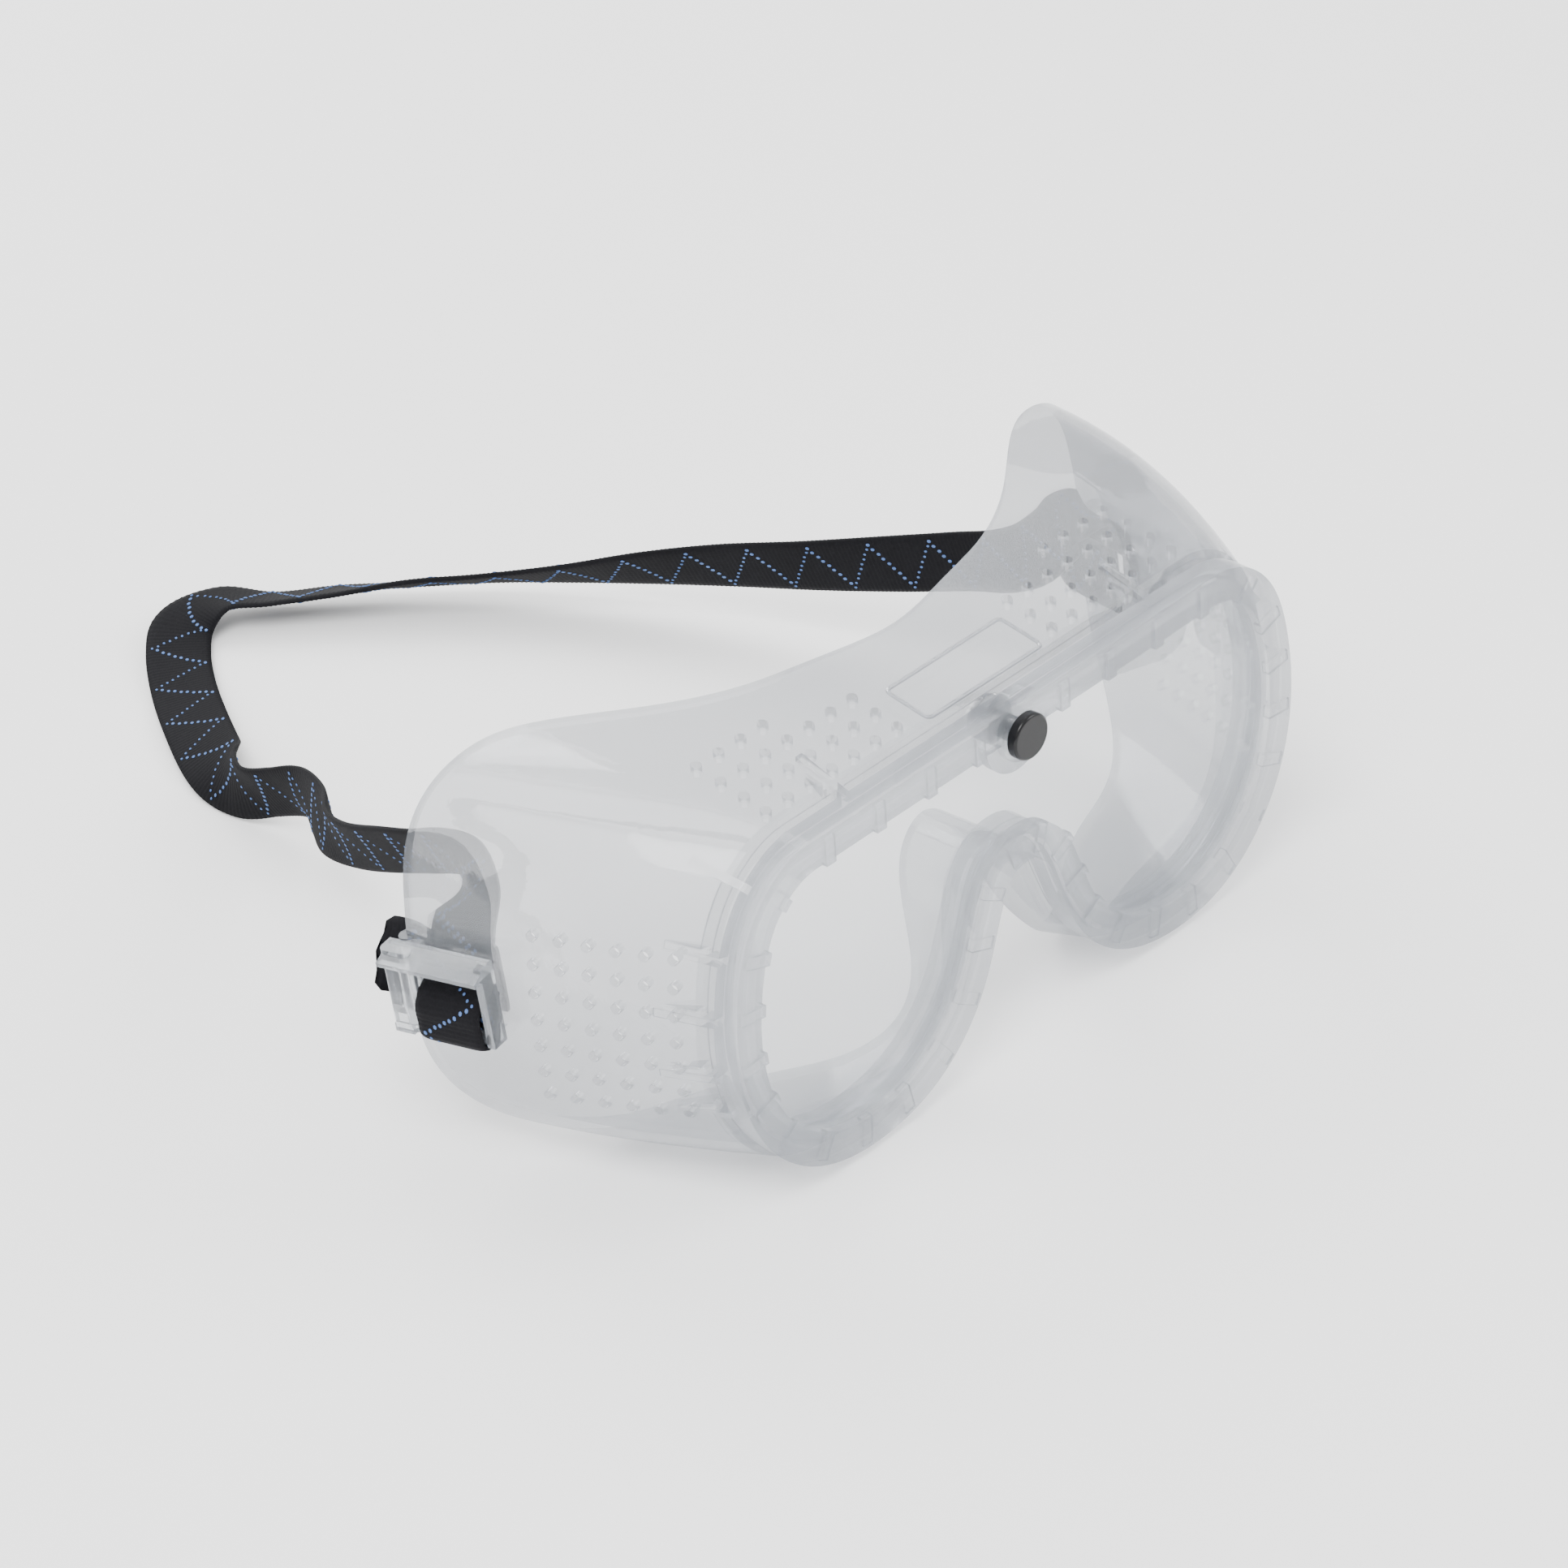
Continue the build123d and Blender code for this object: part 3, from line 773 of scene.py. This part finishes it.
@dataclass
class Studio:
    """Floor, soft light and camera."""

    floor: Backdrop
    back: tuple = (-0.58547, -0.59167, 0.55417)
    eye: tuple = (-0.53142, -0.48068, 0.49200)
    roll: float = -3.9945
    lens: float = 119.49

    def build(self) -> None:
        """Set the stage, the lights and the camera."""
        self.lay_floor()
        self.light("key", (-0.5, -0.2, 0.9), 0.5, 12.0)
        self.light("fill", (0.7, -0.6, 0.6), 0.6, 6.0)
        self.light("rear", (0.2, 0.9, 0.6), 0.7, 9.0)
        world = bpy.data.worlds.new("studio")
        world.use_nodes = True
        world.node_tree.nodes["Background"].inputs["Color"].default_value = (1.0, 1.0, 1.0, 1.0)
        world.node_tree.nodes["Background"].inputs["Strength"].default_value = 1.45
        bpy.context.scene.world = world
        self.aim()

    def lay_floor(self) -> None:
        """Add the pale floor under the object."""
        height = CAD_BOX[0][2] / MM - FLOOR_GAP
        ring = []
        for k in range(FLOOR_CORNERS):
            angle = 2 * math.pi * k / FLOOR_CORNERS
            ring.append(Vector((FLOOR_RADIUS * math.cos(angle), FLOOR_RADIUS * math.sin(angle), height)))
        add_mesh("floor", ring, [tuple(range(FLOOR_CORNERS))], self.floor.material())

    def light(self, name: str, place: tuple, size: float, power: float) -> None:
        """Add one soft square light that faces the object.

        Args:
            name: the light's name.
            place: where it hangs, in metres.
            size: its side.
            power: its watts.
        """
        data = bpy.data.lights.new(name, "AREA")
        data.size = size
        data.energy = power
        made = bpy.data.objects.new(name, data)
        made.location = place
        made.rotation_euler = (Vector((0, 0.07, 0)) - Vector(place)).to_track_quat("-Z", "Y").to_euler()
        bpy.context.scene.collection.objects.link(made)

    def aim(self) -> None:
        """Place the camera."""
        back = Vector(self.back).normalized()
        right = (-back).cross(Vector((0, 0, 1))).normalized()
        down = (-back).cross(right)
        turn = math.radians(self.roll)
        across = right * math.cos(turn) - down * math.sin(turn)
        below = right * math.sin(turn) + down * math.cos(turn)
        data = bpy.data.cameras.new("camera")
        data.lens = self.lens
        data.sensor_width = 36.0
        data.clip_start = 0.01
        camera = bpy.data.objects.new("camera", data)
        turned = Matrix((across, -below, back)).transposed().to_4x4()
        camera.matrix_world = Matrix.Translation(Vector(self.eye)) @ turned
        bpy.context.scene.collection.objects.link(camera)
        bpy.context.scene.camera = camera


def main() -> None:
    """Build the pieces in order."""
    logging.basicConfig(level=logging.INFO)
    body = ClearPlastic("clear vinyl", haze=0.12, edge=0.3, bend=0.3, tint=(0.3, 0.32, 0.35),
                        clear=(0.9, 0.905, 0.915), roughness=0.08, relief=0.00005)
    lens = ClearPlastic("lens sheet", haze=0.03, edge=0.2, bend=0.15, tint=(0.5, 0.53, 0.57),
                        clear=(0.97, 0.975, 0.98), roughness=0.04, relief=0.00002)
    buckle = ClearPlastic("clear resin", haze=0.1, edge=0.35, bend=0.75, tint=(0.35, 0.37, 0.4),
                          clear=(0.93, 0.94, 0.95), roughness=0.05, relief=0.00004)
    cap = ClearPlastic("milky resin", haze=0.5, edge=0.4, bend=0.3, tint=(0.4, 0.42, 0.45),
                       clear=(0.9, 0.9, 0.9), roughness=0.15, relief=0.00004)
    Mouldings(body, lens, buckle, GlossyPlastic("black gloss", (0.002, 0.002, 0.0025)), cap).build()
    webbing = Woven("black webbing", (0.002, 0.002, 0.003), (0.014, 0.014, 0.017), 0.7)
    HeadStrap(webbing, Woven("blue thread", (0.05, 0.1, 0.26), (0.2, 0.32, 0.6), 0.6)).build()
    Studio(Backdrop("pale floor", (0.94, 0.94, 0.94))).build()


if __name__ == "__main__":
    main()
